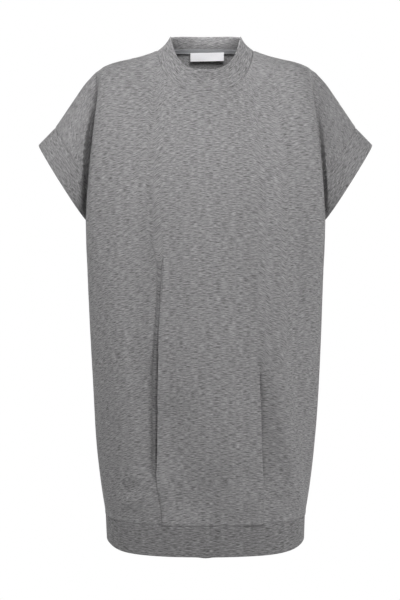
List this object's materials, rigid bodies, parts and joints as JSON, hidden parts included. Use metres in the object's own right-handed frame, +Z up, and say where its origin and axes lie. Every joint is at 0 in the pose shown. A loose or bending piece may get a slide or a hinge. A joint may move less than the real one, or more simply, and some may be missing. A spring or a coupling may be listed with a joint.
{
  "type": "sweatshirt dress",
  "caption": "Loose mid-thigh sweatshirt dress in marl knit, with a mock neck, grown-on short sleeves, doubled cuffs and hem band, and hem tucks.",
  "frame": {"origin": "midway between the neck ends of the two shoulder seams, where the garment hangs on the wearer's shoulders", "axes": "+Z up, -Y to the front, +X towards the wearer's left"},
  "size_m": [0.5834, 0.274, 0.9007],
  "materials": {
    "sweatshirt_knit": "grey marl jersey, matt",
    "doubled_knit": "grey marl jersey folded double, matt",
    "neck_tape": "smooth twill tape, matt",
    "label": "white satin ribbon, left bare"
  },
  "bodies": {
    "root": {"front": "sweatshirt_knit", "back": "sweatshirt_knit", "collar": "doubled_knit", "cuff_left": "doubled_knit", "cuff_right": "doubled_knit", "hem_band": "doubled_knit", "neck_tape": "neck_tape", "label": "label"}
  },
  "joints": []
}
